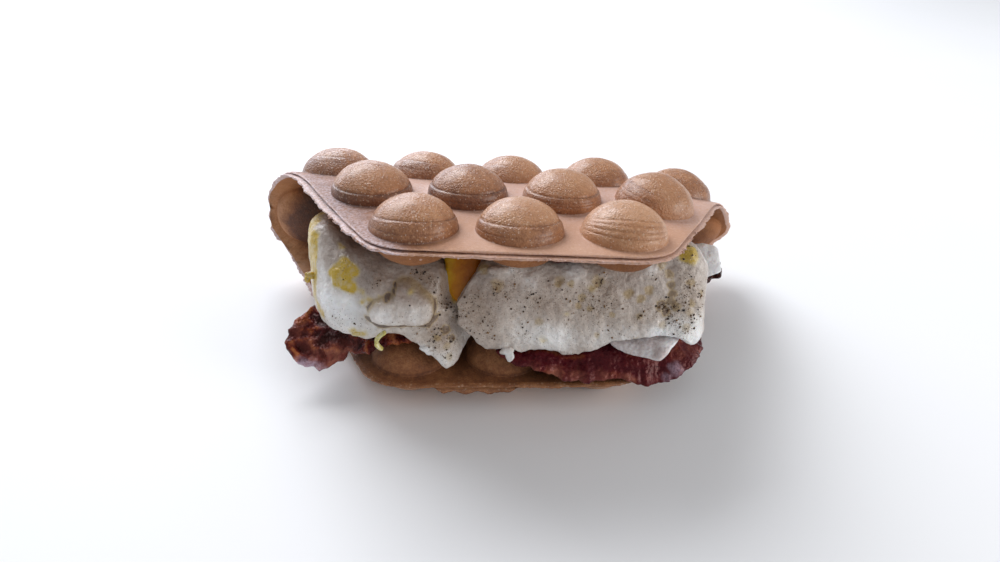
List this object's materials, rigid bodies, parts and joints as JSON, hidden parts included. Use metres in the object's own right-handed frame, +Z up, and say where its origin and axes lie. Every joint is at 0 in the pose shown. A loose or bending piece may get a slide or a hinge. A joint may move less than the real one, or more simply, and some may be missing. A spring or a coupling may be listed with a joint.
{
  "type": "breakfast waffle",
  "caption": "Bubble waffle folded over fried egg whites, a bit of yolk and strips of bacon, served as a hand-held breakfast sandwich.",
  "frame": {"origin": "middle of the underside of the part's box, on the surface that it lies on", "axes": "+X along the fold to the right as seen from the open front, +Y towards the fold at the back, +Z up"},
  "size_m": [0.2126, 0.1086, 0.078],
  "materials": {
    "waffle": "baked batter, satin",
    "egg_white": "fried egg white, moist",
    "thin_white": "thin translucent egg white",
    "yolk": "cooked yolk, moist",
    "bacon": "fried bacon, greasy gloss"
  },
  "bodies": {
    "root": {"waffle": "waffle", "egg_left": "egg_white", "egg_right": "egg_white", "egg_lower": "thin_white", "yolk": "yolk", "yolk_shred": "yolk", "bacon_left": "bacon", "bacon_right": "bacon", "bacon_scrap": "bacon"}
  },
  "joints": []
}
